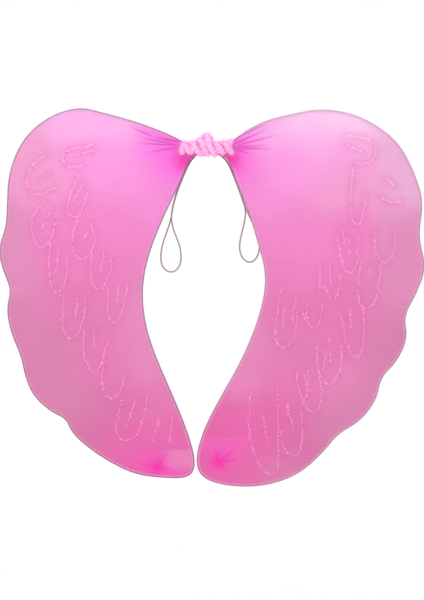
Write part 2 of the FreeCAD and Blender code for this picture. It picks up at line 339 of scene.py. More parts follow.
def rgba(colour):
    return (*[float(c) for c in colour], 1.0)


def output(made, shader):
    node(made, "ShaderNodeOutputMaterial", Surface=shader)


def attribute(made, name, part):
    return node(made, "ShaderNodeAttribute", {"attribute_name": name}).outputs[part]


def ramp(made, fac, stops):
    """A colour ramp with (position, colour) stops."""
    added = node(made, "ShaderNodeValToRGB", Fac=fac)
    elements = added.color_ramp.elements
    while len(elements) < len(stops):
        elements.new(0.5)
    for element, (position, colour) in zip(elements, stops):
        element.position = position
        element.color = rgba(colour)
    return added.outputs["Color"]


def nylon_material():
    """Fine stretched stocking: pink yarn that lets light through, with pin holes in its knit."""
    made = material("nylon")
    place = attribute(made, "rest", "Vector")
    tint = node(made, "ShaderNodeAttribute", {"attribute_name": "tint"})
    stretched = node(made, "ShaderNodeMapping", Vector=place, Scale=(70, 70, 900)).outputs["Vector"]
    streak = node(made, "ShaderNodeTexNoise", Vector=stretched, Scale=1.0, Detail=3.0, Roughness=0.6)
    cloud = node(made, "ShaderNodeTexNoise", Vector=place, Scale=28.0, Detail=2.0)
    rows = node(made, "ShaderNodeTexWave", {"bands_direction": "Z"}, Vector=place, Scale=520.0,
                Distortion=0.6, Detail=1.0)
    wales = node(made, "ShaderNodeTexWave", {"bands_direction": "X"}, Vector=place, Scale=420.0,
                 Distortion=0.6, Detail=1.0)
    knit = node(made, "ShaderNodeMath", {"operation": "MULTIPLY"}, i0=rows.outputs["Fac"],
                i1=wales.outputs["Fac"]).outputs["Value"]
    tone = node(made, "ShaderNodeMath", {"operation": "MULTIPLY_ADD"}, i0=streak.outputs["Fac"],
                i1=0.16, i2=0.92).outputs["Value"]
    tone = node(made, "ShaderNodeMath", {"operation": "MULTIPLY_ADD"}, i0=cloud.outputs["Fac"],
                i1=0.05, i2=tone).outputs["Value"]
    tone = node(made, "ShaderNodeMath", {"operation": "MULTIPLY_ADD"}, i0=knit, i1=-0.10,
                i2=tone).outputs["Value"]
    colour = node(made, "ShaderNodeVectorMath", {"operation": "SCALE"}, i0=tint.outputs["Color"],
                  Scale=tone).outputs["Vector"]
    bump = node(made, "ShaderNodeBump", Height=knit, Strength=0.25, Distance=0.0002).outputs["Normal"]
    front = node(made, "ShaderNodeBsdfPrincipled", Base_Color=colour, Normal=bump, Roughness=0.42,
                 Sheen_Weight=0.25, Sheen_Roughness=0.4)
    through = node(made, "ShaderNodeBsdfTranslucent", Color=colour, Normal=bump)
    yarn = node(made, "ShaderNodeMixShader", i0=0.5, i1=front.outputs[0], i2=through.outputs[0])
    gaps = node(made, "ShaderNodeMath", {"operation": "MULTIPLY_ADD"}, i0=knit, i1=-0.12,
                i2=tint.outputs["Alpha"]).outputs["Value"]
    hole = node(made, "ShaderNodeBsdfTransparent", Color=rgba(linear("FFD2EC")))
    whole = node(made, "ShaderNodeMixShader", i0=gaps, i1=hole.outputs[0], i2=yarn.outputs[0])
    output(made, whole.outputs[0])
    return made


def wire_material():
    """Steel wire with a thin mauve plastic coat."""
    made = material("wire")
    place = attribute(made, "rest", "Vector")
    grain = node(made, "ShaderNodeTexNoise", Vector=place, Scale=900.0, Detail=2.0).outputs["Fac"]
    colour = ramp(made, grain, [(0.3, linear("B08AA2")), (0.7, linear("D9BCCD"))])
    shine = node(made, "ShaderNodeMapRange", Value=grain, To_Min=0.22, To_Max=0.4).outputs["Result"]
    coat = node(made, "ShaderNodeBsdfPrincipled", Base_Color=colour, Roughness=shine, Metallic=0.35,
                Coat_Weight=0.4)
    output(made, coat.outputs[0])
    return made


def fluff_material():
    """Soft nylon pile; the tint's alpha is how far light goes through a hair, and 0 on the dense core."""
    made = material("fluff")
    tint = node(made, "ShaderNodeAttribute", {"attribute_name": "tint"})
    place = attribute(made, "rest", "Vector")
    cloud = node(made, "ShaderNodeTexNoise", Vector=place, Scale=160.0, Detail=3.0).outputs["Fac"]
    tone = node(made, "ShaderNodeMapRange", Value=cloud, To_Min=0.94, To_Max=1.04).outputs["Result"]
    colour = node(made, "ShaderNodeVectorMath", {"operation": "SCALE"}, i0=tint.outputs["Color"],
                  Scale=tone).outputs["Vector"]
    hair = node(made, "ShaderNodeBsdfPrincipled", Base_Color=colour, Roughness=0.6, Sheen_Weight=0.5)
    through = node(made, "ShaderNodeBsdfTranslucent", Color=colour)
    both = node(made, "ShaderNodeMixShader", i0=tint.outputs["Alpha"], i1=hair.outputs[0],
                i2=through.outputs[0])
    output(made, both.outputs[0])
    return made


BEAD_PALE = linear("FFCDEB")


def glue_material():
    """Dried glitter glue: a bead in the nylon's pink, with the nylon's painted light and shade, and pale
    specks in it.
    """
    made = material("glitter_glue")
    place = attribute(made, "rest", "Vector")
    tint = attribute(made, "tint", "Color")
    specks = node(made, "ShaderNodeTexVoronoi", Vector=place, Scale=560.0,
                  Randomness=0.8).outputs["Distance"]
    pale = node(made, "ShaderNodeMapRange", Value=specks, From_Min=0.1, From_Max=0.42, To_Min=0.22,
                To_Max=0.0).outputs["Result"]
    colour = node(made, "ShaderNodeMix", {"data_type": "RGBA"}, i0=pale, i6=tint,
                  i7=rgba(BEAD_PALE)).outputs[2]
    bump = node(made, "ShaderNodeBump", Height=specks, Strength=0.3, Distance=0.0002).outputs["Normal"]
    bead = node(made, "ShaderNodeBsdfPrincipled", Base_Color=colour, Roughness=0.45, Normal=bump,
                Specular_IOR_Level=0.2)
    output(made, bead.outputs[0])
    return made


def flake_material():
    """Foil flakes, each with its own colour."""
    made = material("glitter_flakes")
    tint = attribute(made, "tint", "Color")
    place = attribute(made, "rest", "Vector")
    rough = node(made, "ShaderNodeTexNoise", Vector=place, Scale=2500.0).outputs["Fac"]
    shine = node(made, "ShaderNodeMapRange", Value=rough, To_Min=0.25, To_Max=0.5).outputs["Result"]
    foil = node(made, "ShaderNodeBsdfPrincipled", Base_Color=tint, Roughness=shine, Metallic=0.4)
    output(made, foil.outputs[0])
    return made


def elastic_material():
    """Round elastic: fine braid over a rubber core."""
    made = material("elastic")
    place = node(made, "ShaderNodeTexCoord").outputs["Object"]
    braid = node(made, "ShaderNodeTexWave", {"bands_direction": "DIAGONAL"}, Vector=place,
                 Scale=330.0, Distortion=1.5, Detail=2.0).outputs["Fac"]
    pale = ramp(made, braid, [(0.2, linear("8E7080")), (0.8, linear("B49AA7"))])
    # painted shade: the elastic is drawn darker towards the hub, where its two runs lie together
    shade_near_hub = ramp(made, braid, [(0.2, linear("5C3A4C")), (0.8, linear("80586C"))])
    height = node(made, "ShaderNodeSeparateXYZ", Vector=place).outputs["Z"]
    above = node(made, "ShaderNodeMapRange", Value=height, From_Min=-0.055,
                 From_Max=-0.01).outputs["Result"]
    colour = node(made, "ShaderNodeMix", {"data_type": "RGBA"}, i0=above, i6=pale, i7=shade_near_hub).outputs[2]
    bump = node(made, "ShaderNodeBump", Height=braid, Strength=0.6, Distance=0.0002).outputs["Normal"]
    cover = node(made, "ShaderNodeBsdfPrincipled", Base_Color=colour, Roughness=0.6, Normal=bump,
                 Sheen_Weight=0.3)
    output(made, cover.outputs[0])
    return made


def woven_material(name, bands, scale, distortion, detail, stops, raised, roughness):
    """Wound thread or cloth tape: fine bands that show in colour and in relief."""
    made = material(name)
    place = node(made, "ShaderNodeTexCoord").outputs["Object"]
    weave = node(made, "ShaderNodeTexWave", {"bands_direction": bands}, Vector=place, Scale=scale,
                 Distortion=distortion, Detail=detail).outputs["Fac"]
    bump = node(made, "ShaderNodeBump", Height=weave, Strength=raised, Distance=0.0002).outputs["Normal"]
    cover = node(made, "ShaderNodeBsdfPrincipled", Base_Color=ramp(made, weave, stops),
                 Roughness=roughness, Normal=bump)
    output(made, cover.outputs[0])
    return made


def floor_material():
    """Plain pale paper."""
    made = material("floor")
    place = node(made, "ShaderNodeTexCoord").outputs["Object"]
    grain = node(made, "ShaderNodeTexNoise", Vector=place, Scale=60.0, Detail=2.0).outputs["Fac"]
    colour = ramp(made, grain, [(0.3, linear("FCFBFC")), (0.7, linear("FFFEFF"))])
    paper = node(made, "ShaderNodeBsdfPrincipled", Base_Color=colour, Roughness=0.9)
    output(made, paper.outputs[0])
    return made


NYLON = nylon_material()
WIRE = wire_material()
FLUFF = fluff_material()
GLUE = glue_material()
FLAKES = flake_material()
ELASTIC = elastic_material()
THREAD = woven_material("thread", "Y", 700.0, 1.0, 1.0,
                        [(0.1, linear("B8307A")), (0.7, linear("F25DB0"))], 0.7, 0.55)
TAPE = woven_material("tape", "X", 260.0, 2.0, 2.0,
                      [(0.2, linear("DCC8D2")), (0.8, linear("F4E9EF"))], 0.4, 0.6)
FLOOR = floor_material()


def finish_nodes(names, made):
    """Gives CAD nodes that stay in sight their better material."""
    for name in names:
        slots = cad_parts[name].data.materials
        slots.clear()
        slots.append(made)


# ---------------------------------------------------------------- camera and stage

VIEW_CENTRE = (5.9, -179.0)
VIEW_HEIGHT = 711.0
CAMERA_DISTANCE = 2400.0
SENSOR = 36.0
FLOOR_Z = -620.0
FLOOR_RADIUS = 900.0


def make_camera():
    data = bpy.data.cameras.new("camera")
    data.sensor_width = SENSOR
    data.lens = SENSOR * CAMERA_DISTANCE / VIEW_HEIGHT
    camera = link(bpy.data.objects.new("camera", data))
    x, z = VIEW_CENTRE
    camera.location = Vector((x, WING_Y - CAMERA_DISTANCE, z)) * MM
    camera.rotation_euler = (math.pi / 2, 0, 0)
    bpy.context.scene.camera = camera


def soft_light(name, place, aim, size, power):
    data = bpy.data.lights.new(name, "AREA")
    data.size = size
    data.energy = power
    lamp = link(bpy.data.objects.new(name, data))
    lamp.location = Vector(place)
    lamp.rotation_euler = (Vector(aim) - Vector(place)).to_track_quat("-Z", "Y").to_euler()


def make_stage():
    scene = bpy.context.scene
    scene.view_settings.view_transform = "Standard"
    scene.cycles.max_bounces = 16
    scene.cycles.diffuse_bounces = 12
    world = bpy.data.worlds.new("studio")
    world.use_nodes = True
    background = world.node_tree.nodes["Background"]
    background.inputs["Color"].default_value = (1, 1, 1, 1)
    background.inputs["Strength"].default_value = 1.0
    scene.world = world
    soft_light("key", (-0.5, -1.6, 0.35), (0, 0, -0.22), 0.9, 4)
    soft_light("top", (0.1, -0.2, 1.3), (0, 0, -0.1), 0.8, 2)
    sides = 96
    ring = [(FLOOR_RADIUS * math.cos(i * 2 * math.pi / sides),
             FLOOR_RADIUS * math.sin(i * 2 * math.pi / sides), FLOOR_Z) for i in range(sides)]
    mesh_piece("floor", ring, [tuple(range(sides))], FLOOR)


# ---------------------------------------------------------------- shoulder elastics

def make_strap(side):
    body = side + "_strap"
    name = side + "_shoulder_elastic"
    elastic = nurbs(side + "_elastic_cord", STRAP_ROUTE[side], resolution=12)
    elastic.data.bevel_depth = ELASTIC_DIAMETER / 2 * MM
    elastic.data.bevel_resolution = 4
    elastic.data.use_fill_caps = True
    elastic.data.materials.append(ELASTIC)
    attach(elastic, body)
    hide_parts(name)
    knot = make_knot(side)
    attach(knot, body)
    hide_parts(side + "_elastic_knot")


def make_knot(side):
    """A small overhand knot: a trefoil of the same elastic."""
    low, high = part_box(side + "_elastic_knot")
    centre = np.array((low + high) / 2) / MM
    reach = (high.x - low.x) / 2 / MM - ELASTIC_DIAMETER / 2
    t = np.linspace(0, 2 * math.pi, 97)
    x = np.sin(t) + 2 * np.sin(2 * t)
    z = np.cos(t) - 2 * np.cos(2 * t)
    y = -1.7 * np.sin(3 * t)
    line = centre + np.stack([x, y, z], axis=1) * reach / 3
    points, faces = tube(line, ELASTIC_DIAMETER / 2 * 0.9, 10)
    return mesh_piece(side + "_elastic_tie", points, faces, ELASTIC)


# ---------------------------------------------------------------- one wing

def wing_outline(side, step):
    """The stocking's edge round one wing, as (X, Z) points, and its outward directions."""
    left_out = ROOT_CORNERS_LEFT_OUT
    corners = ROOT_START[side] + WING_ROUTE[side][1:-left_out] + ROOT_END[side]
    line = on_wing(corners, step)[:, (0, 2)]
    tangents = directions(line)
    outward = np.stack([tangents[:, 1], -tangents[:, 0]], axis=1) * -OUTWARD[side]
    return line, outward


def inside(points, line):
    """Whether each (X, Z) point is inside a closed line."""
    x, z = points[:, 0, None], points[:, 1, None]
    x1, z1 = line[:, 0], line[:, 1]
    x2, z2 = np.roll(x1, -1), np.roll(z1, -1)
    crosses = (z1 > z) != (z2 > z)
    rise = np.where(z2 == z1, 1, z2 - z1)
    at = x1 + (z - z1) * (x2 - x1) / rise
    return (np.sum(crosses & (x < at), axis=1) % 2) == 1


def distance(points, place):
    """How far each (X, Z) point is from a place."""
    return np.linalg.norm(points - np.array(place), axis=1)


def edge_distance(points, line):
    """How far each (X, Z) point is from a line of points."""
    found = []
    for part in np.array_split(points, 1 + len(points) // 2000):
        gaps = part[:, None] - line[None]
        found.append(np.sqrt((gaps ** 2).sum(axis=2)).min(axis=1))
    return np.concatenate(found)


def hex_grid(low, high, pitch):
    """Points of a triangle grid over a box, as (X, Z)."""
    rows = np.arange(low[1], high[1], pitch * math.sqrt(3) / 2)
    points = []
    for i, z in enumerate(rows):
        xs = np.arange(low[0] + (i % 2) * pitch / 2, high[0], pitch)
        points.append(np.stack([xs, np.full(len(xs), z)], axis=1))
    return np.concatenate(points)


PITCH = 3.4
FINE_PITCH = 1.4
ROOT_REACH = 78.0
TIP_REACH = 36.0
EDGE_ROWS = (0.7, 1.5, 2.8)


def wing_net(side):
    """A flat triangle net that fills one wing: fine where the nylon is drawn together."""
    line, outward = wing_outline(side, 2.0)
    dense_line, _ = wing_outline(side, 0.5)
    low, high = line.min(axis=0), line.max(axis=0)
    coarse = hex_grid(low, high, PITCH)
    fine = hex_grid(low, high, FINE_PITCH)

    def in_fine(points):
        near_root = distance(points, (HINGE_X[side], 0.0)) < ROOT_REACH
        return near_root | (distance(points, TIP_CENTRE[side]) < TIP_REACH)

    coarse = coarse[~in_fine(coarse)]
    fine = fine[in_fine(fine)]
    rows = [line - outward * depth for depth in EDGE_ROWS]
    kept = []
    for points, clearance in [(coarse, PITCH), (fine, EDGE_ROWS[-1] * 0.6)]:
        points = points[inside(points, line)]
        kept.append(points[edge_distance(points, dense_line) > clearance + 0.6])
    for depth, row in zip(EDGE_ROWS, rows):
        row = row[inside(row, line)]
        kept.append(row[edge_distance(row, dense_line) > depth * 0.93])
    creases = fold_rows(side)
    creases = creases[inside(creases, line)]
    creases = creases[edge_distance(creases, dense_line) > 1.2]
    filling = np.concatenate(kept)
    filling = filling[edge_distance(filling, creases) > 0.7]
    every = np.concatenate([line, filling, creases])
    border = [(i, (i + 1) % len(line)) for i in range(len(line))]
    found = delaunay_2d_cdt([Vector(p) for p in every], border, [], 1, 1e-4)
    points = np.array([p[:] for p in found[0]])
    faces = [tuple(face) for face in found[2]]
    return {"line": line, "outward": outward, "points": points, "faces": faces,
            "depth": edge_distance(points, dense_line)}


FOLD_ROWS = (-1.8, -1.0, -0.45, 0.0, 0.45, 1.0, 1.8)


def fold_rows(side):
    """Close rows of points along every crease, so that it can be drawn thin."""
    rows = []
    for x1, z1, x2, z2 in ROOT_FOLDS[side] + TIP_RAYS[side]:
        start, end = np.array([x1, z1]), np.array([x2, z2])
        length = np.linalg.norm(end - start)
        unit = (end - start) / length
        for aside in FOLD_ROWS:
            t = np.arange(0, length, 1.1)[:, None]
            rows.append(start + unit * t + np.array([-unit[1], unit[0]]) * aside)
    return np.concatenate(rows)


def fold_marks(points, folds, width):
    """How deep in a pulled fold each point is, from 0 to 1."""
    marks = np.zeros(len(points))
    for x1, z1, x2, z2 in folds:
        start, end = np.array([x1, z1]), np.array([x2, z2])
        run = end - start
        length = np.linalg.norm(run)
        unit = run / length
        t = (points - start) @ unit / length
        aside = (points - start) @ np.array([-unit[1], unit[0]])
        spread = width * (0.7 + 0.6 * np.clip(t, 0, 1))
        strength = smooth(t, -0.12, 0.1) * (1 - smooth(t, 0.3, 1.05))
        marks = np.maximum(marks, np.exp(-(aside / spread) ** 2) * strength)
    return marks


def lifts(side, points, depth):
    """How far the front and the back layer stand off the wing's plane at each point."""
    root = np.array([HINGE_X[side] - OUTWARD[side] * 2, 0.0])
    tip = np.array(TIP_CENTRE[side])
    from_root = distance(points, root)
    bearing = np.arctan2(points[:, 1] - root[1], np.abs(points[:, 0] - root[0]) + 1e-6)
    from_tip = distance(points, tip)
    tip_bearing = np.arctan2(points[:, 1] - tip[1], points[:, 0] - tip[0])
    free = smooth(depth, 0.0, 1.2 + 0.06 * np.minimum(from_root, 80))
    bunch = 3.0 * np.exp(-(from_root / 15.0) ** 2)
    pleats = 0.75 * np.sin(bearing * 15 + 0.6) * np.exp(-(from_root / 26.0) ** 2)
    folds = -0.8 * fold_marks(points, ROOT_FOLDS[side], 1.1)
    wave = 0.5 * np.sin(points[:, 0] / 31 + 0.8) * np.sin(points[:, 1] / 43 + 0.3)
    drawn = -0.35 * smooth(depth, 3.0, 40.0)
    tie_pleats = 0.3 * np.sin(tip_bearing * 9) * np.exp(-(from_tip / 13.0) ** 2) * smooth(from_tip, 0, 3)
    dimple = -0.25 * np.exp(-(from_tip / 6.0) ** 2)
    cone = 1.6 * np.exp(-(from_tip / 5.0) ** 2)
    front = WRAP_RADIUS + free * (bunch + pleats + folds + wave + drawn + tie_pleats + dimple)
    back = WRAP_RADIUS + free * (bunch - pleats * 0.8 + folds * 0.5 - wave + drawn + tie_pleats + cone)
    return np.maximum(front, 0.35), np.maximum(back, 0.35)


COLOURS = {
    "pearl_highlight": "FFD6F4", "lilac": "FDBBEE", "orchid": "FCA2E3", "fuchsia": "FB8BE6", "hot": "FF5EE0",
    "carnation": "F896DA", "blush": "F3A6D3", "shell": "EDB6DA", "rose": "F38DCC", "petal": "EE88C4",
    "mauve": "E393BF", "heather": "E582B8", "dusk": "DB86B2", "berry": "DB77AB", "soft": "E990C1",
    "raspberry": "E76EAF", "neon": "EF62B6",
}

# Where each colour is at its clearest, as (X, Z). The area tints stand both for the knit's own colour and
# doubled layers and for painted light and shade; the pale pearl along the right wing's top is a painted
# highlight.
COLOUR_PLACES = {
    "left": {
        "lilac": [(-170, 34), (-140, 32), (-103, 26)],
        "orchid": [(-120, -12), (-145, -25), (-88, -30)],
        "fuchsia": [(-62, 8), (-50, -16)], "carnation": [(-72, -62), (-58, -40)],
        "blush": [(-205, 2), (-215, -35), (-176, -50)],
        "rose": [(-91, -92), (-127, -92), (-166, -80)],
        "petal": [(-186, -122), (-103, -138), (-145, -130)],
        "mauve": [(-232, -90), (-236, -130), (-218, -160)],
        "heather": [(-198, -175), (-145, -180), (-115, -214), (-120, -255), (-58, -312)],
        "soft": [(-85, -180), (-82, -212), (-74, -250)],
        "dusk": [(-228, -200), (-176, -222), (-188, -262), (-156, -300)],
        "berry": [(-105, -310), (-140, -335)],
        "raspberry": [(-106, -352), (-78, -342), (-44, -338)],
        "neon": [(-76, -366), (-40, -384)],
    },
    "right": {
        # painted highlight: the pale band along the right wing's top edge
        "pearl_highlight": [(110, 38), (146, 36), (175, 26)],
        "lilac": [(75, 24), (125, 14)],
        "orchid": [(110, -8), (92, -30), (160, -4)],
        "carnation": [(50, -38), (66, -70)],
        "shell": [(217, -6), (236, -48)],
        "blush": [(150, -50), (190, -40)],
        "rose": [(80, -100), (112, -92), (135, -108)],
        "petal": [(172, -98), (100, -146), (75, -140)],
        "mauve": [(243, -96), (232, -150), (238, -120)],
        "heather": [(165, -190), (125, -190), (75, -190), (98, -232), (150, -240), (90, -278)],
        "soft": [(60, -226), (42, -280), (158, -276)],
        "dusk": [(218, -226), (205, -264), (176, -305), (148, -335), (90, -384)],
        "raspberry": [(27, -318), (66, -348), (75, -310), (40, -388), (-6, -384)],
        "berry": [(110, -346), (118, -360)],
        "neon": [(24, -352)],
    },
}
SPREAD = 24.0

# The same for the rolled edge over the wire
RIM_PLACES = {
    "left": {
        "D898BD": [(-150, 46), (-190, 34)], "F2A0E4": [(-60, 22), (-34, 10)],
        "C57DA3": [(-230, -30), (-236, -90), (-240, -140)], "C08AA9": [(-230, -220), (-190, -305)],
        "B9639A": [(-110, -372), (-60, -390), (-30, -388)], "C393B4": [(-75, -144), (-62, -245)],
        "B78AA6": [(-33, -312), (-45, -66)], "E45FB4": [(-25, -18), (-16, -6)],
    },
    "right": {
        "C98BB2": [(52, 24), (70, 33)], "E0C7DA": [(120, 46), (175, 42)],
        "C48DAC": [(226, 6), (246, -30), (255, -70)], "C898B5": [(257, -140), (232, -200)],
        "B98BA6": [(205, -270), (160, -335), (107, -386)], "BD7DA3": [(40, -400), (0, -390)],
        "C393B4": [(71, -146), (40, -256)], "B78AA6": [(0, -330), (45, -60)],
        "E45FB4": [(27, -16), (18, -6)],
    },
}

HOT_REACH = {"left": 38.0, "right": 40.0}
ROOT_DEEP = linear("FC44BC")
TOE = linear("FF34C6")
# painted shade for the creases of the folds at the root
FOLD_SHADE = linear("C935AC")
GLUE_SOAKED = linear("EF70BE")
# painted highlight for the edges over the wire
RIM_HIGHLIGHT = linear("FAC4E6")

# Light comes back from the nylon a little redder than it went in
LIGHT_TRIM = np.array([0.965, 1.05, 1.01])


def as_yarn(colour):
    """The yarn colour that looks like this one after light has passed it more than once."""
    lit = colour * LIGHT_TRIM
    return np.clip(lit / (0.71 + 0.29 * lit), 0, 1)


def blended(points, places):
    """A colour for each point, from the places of the colours, the nearest counting most."""
    total = np.zeros((len(points), 3))
    weights = np.zeros(len(points))
    for name, spots in places.items():
        colour = linear(COLOURS.get(name, name))
        for spot in spots:
            gap = ((points - np.array(spot, float)) ** 2).sum(axis=1)
            weight = 1 / (gap + SPREAD ** 2) ** 2
            total += weight[:, None] * colour
            weights += weight
    return total / weights[:, None]


def toe_panels(side, points, colour):
    """Where the toe's doubled knit starts: a band with a sharp edge in each toe."""
    x, z = points[:, 0], points[:, 1]
    if side == "left":
        inside_panel = smooth(-z, 356.0, 357.5) * smooth(x, -58, -40) * (1 - smooth(-z, 372, 386))
        return mix(colour, linear(COLOURS["soft"]), 0.8 * inside_panel)
    band = smooth(-z, 290, 312) * (1 - smooth(-z, 341.5, 343.5)) * (1 - smooth(x, 38, 85))
    colour = mix(colour, linear("E868AC"), 0.4 * band)
    below = smooth(-z, 341.5, 343.5) * (1 - smooth(-z, 346, 372)) * (1 - smooth(x, 30, 75))
    return mix(colour, linear("F873C6"), 0.35 * below)


def wing_tints(side, points, depth):
    """The nylon's colour at each point, with painted light and shade in it."""
    root = np.array([HINGE_X[side], 0.0])
    from_root = distance(points, root)
    from_tip = distance(points, TIP_CENTRE[side])
    colour = toe_panels(side, points, blended(points, COLOUR_PLACES[side]))
    glue = np.concatenate([on_wing(corners, 2.0) for corners in GLITTER[side]])[:, (0, 2)]
    colour = mix(colour, GLUE_SOAKED, 0.3 * np.exp(-(edge_distance(points, glue) / 6.0) ** 2))
    colour = mix(colour, linear(COLOURS["hot"]), 0.9 * np.exp(-(from_root / HOT_REACH[side]) ** 2))
    from_low_root = distance(points, root + np.array([OUTWARD[side] * 8.0, -15.0]))
    colour = mix(colour, ROOT_DEEP, 0.95 * np.exp(-(from_low_root / 13.0) ** 2))
    # painted shade: the pulled folds at the root are drawn darker along their creases
    colour = mix(colour, FOLD_SHADE, 0.8 * fold_marks(points, ROOT_FOLDS[side], 0.75))
    colour = mix(colour, TOE, 0.9 * fold_marks(points, TIP_RAYS[side], 1.3))
    colour = mix(colour, TOE, 0.9 * np.exp(-(from_tip / 8.5) ** 1.5))
    colour = mix(colour, TOE, 0.12 * np.exp(-(from_tip / 26.0) ** 2))
    # painted highlight: a pale line just inside the nylon's edge, where the wire under it catches the
    # light; it fades out near the root
    width = 1.0 + 0.8 * np.exp(-(from_root / 30.0) ** 2)
    light = smooth(depth, -0.1, 0.5) * (1 - smooth(depth, width, width + 1.4))
    colour = mix(colour, RIM_HIGHLIGHT, 0.55 * light * smooth(from_root, 14, 38))
    return as_yarn(colour)


def layer_cover(side, points):
    """How much of the view each layer stops."""
    from_root = distance(points, (HINGE_X[side], 0.0))
    from_tip = distance(points, TIP_CENTRE[side])
    drawn = np.maximum(np.exp(-(from_root / 60.0) ** 2), np.exp(-(from_tip / 20.0) ** 2))
    return 0.88 + 0.1 * drawn


WRAP_STEPS = 6


def make_nylon(side, net):
    """The stocking: a front and a back layer joined by the nylon that goes round the wire."""
    points, depth, line, outward = net["points"], net["depth"], net["line"], net["outward"]
    count = len(points)
    front, back = lifts(side, points, depth)
    tint = wing_tints(side, points, depth)
    cover = layer_cover(side, points)
    layer_colours = np.concatenate([tint, cover[:, None]], axis=1)
    front_points = np.stack([points[:, 0], WING_Y - front, points[:, 1]], axis=1)
    back_points = np.stack([points[:, 0], WING_Y + back, points[:, 1]], axis=1)
    rings, ring_colours = [], []
    rim_colour = as_yarn(blended(line, RIM_PLACES[side]))
    for step in range(1, WRAP_STEPS):
        angle = math.pi * step / WRAP_STEPS
        spot = line + outward * WRAP_RADIUS * math.sin(angle)
        y = np.full(len(line), WING_Y - WRAP_RADIUS * math.cos(angle))
        rings.append(np.stack([spot[:, 0], y, spot[:, 1]], axis=1))
        rim = mix(tint[:len(line)], rim_colour, np.full(len(line), 0.95 * math.sin(angle) ** 2))
        full = np.full((len(line), 1), 0.97)
        ring_colours.append(np.concatenate([rim, full], axis=1))
    faces = list(net["faces"])
    faces += [tuple(count + i for i in reversed(face)) for face in net["faces"]]
    total = 2 * count
    rows = [np.arange(len(line))]
    rows += [total + i * len(line) + np.arange(len(line)) for i in range(WRAP_STEPS - 1)]
    rows.append(count + np.arange(len(line)))
    for upper, lower in zip(rows, rows[1:]):
        for i in range(len(line) - 1):
            faces.append((int(upper[i]), int(upper[i + 1]), int(lower[i + 1]), int(lower[i])))
    every = np.concatenate([front_points, back_points] + rings)
    colours = np.concatenate([layer_colours, layer_colours] + ring_colours)
    piece = mesh_piece(side + "_stocking", every, faces, NYLON, colours)
    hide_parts(side + "_wing_nylon", side + "_root_gather")
    join_at_hub(piece)
    return piece


def join_at_hub(piece):
    """Bakes the piece's placement into its points; the piece is not attached to the wing or the hub.
    """
    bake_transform(piece)


def make_wire(side):
    start = WIRE_START_X[side]
    corners = [(start, 1.4)] + WING_ROUTE[side] + [(start, -1.4)]
    made, faces = tube(on_wing(corners, 2.5), WIRE_RADIUS, 10)
    piece = mesh_piece(side + "_frame_wire", made, faces, WIRE)
    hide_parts(side + "_wing_wire")
    join_at_hub(piece)


BEAD_WIDTH = 1.75
BEAD_STEP = 0.9
FLAKE_SIZES = (0.3, 0.65)
FLAKES_PER_MM = 2.4


def make_glitter(side, rng):
    """The glue lines, uneven as they were squeezed, with flakes in them and strewn beside them."""
    beads = []
    spots = []
    for corners in GLITTER[side]:
        line = on_wing(corners, BEAD_STEP)
        n = len(line)
        shake = np.cumsum(rng.normal(0, 0.16, (n, 2)), axis=0)
        line[:, (0, 2)] += shake - np.linspace(shake[0], shake[-1], n)
        front, _ = lifts(side, line[:, (0, 2)], np.full(n, 30.0))
        line[:, 1] = WING_Y - front - 0.02
        uneven = rng.uniform(0.3, 1.15, n)
        radius = BEAD_WIDTH * uneven
        radius[0] = radius[-1] = BEAD_WIDTH * 0.4
        tangents = directions(line)
        outward = np.tile([0.0, -1.0, 0.0], (n, 1))
        frames = (tangents, np.cross(tangents, outward), outward)
        beads.append(tube(line, radius, 8, flat=0.3, frames=frames))
        count = int(n * BEAD_STEP * FLAKES_PER_MM)
        flake = line[rng.integers(0, n, count)].copy()
        shift = rng.normal(0, 1.0, (count, 2))
        flake[:, (0, 2)] += shift
        aside = np.linalg.norm(shift, axis=1) / BEAD_WIDTH
        flake[:, 1] -= 0.5 * np.sqrt(np.clip(1 - aside ** 2, 0, 1)) + 0.06
        spots.append(flake)
    points, faces = joined(beads)
    # the beads take the nylon's area tints, painted light and shade included
    local = 0.97 * blended(points[:, (0, 2)], COLOUR_PLACES[side])
    glue = mesh_piece(side + "_glitter_beads", points, faces, GLUE, local)
    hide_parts(side + "_glitter_lines")
    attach(glue, side + "_wing")
    spots = np.concatenate(spots)
    points, faces, colours = flakes(spots, rng)
    strewn = mesh_piece(side + "_glitter_flakes", points, faces, FLAKES, colours)
    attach(strewn, side + "_wing")


FOIL = [linear(c) for c in ("FFC2E4", "FF9ED4", "E86CB4", "E49ADC", "B04482")]
FOIL_SHARES = (0.3, 0.34, 0.27, 0.05, 0.04)


def flakes(spots, rng):
    """Small six-sided plates at the spots, each tipped its own way."""
    count = len(spots)
    size = rng.uniform(*FLAKE_SIZES, count)
    normal = np.array([0.0, -1.0, 0.0]) + rng.normal(0, 0.45, (count, 3))
    normal /= np.linalg.norm(normal, axis=1)[:, None]
    across = np.cross(normal, UP)
    across /= np.linalg.norm(across, axis=1)[:, None]
    beside = np.cross(normal, across)
    angles = np.arange(6) * math.pi / 3
    ring = across[:, None] * np.cos(angles)[None, :, None] + beside[:, None] * np.sin(angles)[None, :, None]
    points = (spots[:, None] + ring * size[:, None, None]).reshape(-1, 3)
    faces = [tuple(range(i * 6, i * 6 + 6)) for i in range(count)]
    kind = rng.choice(len(FOIL), count, p=FOIL_SHARES)
    colours = np.repeat(np.array(FOIL)[kind], 6, axis=0)
    return points, faces, colours


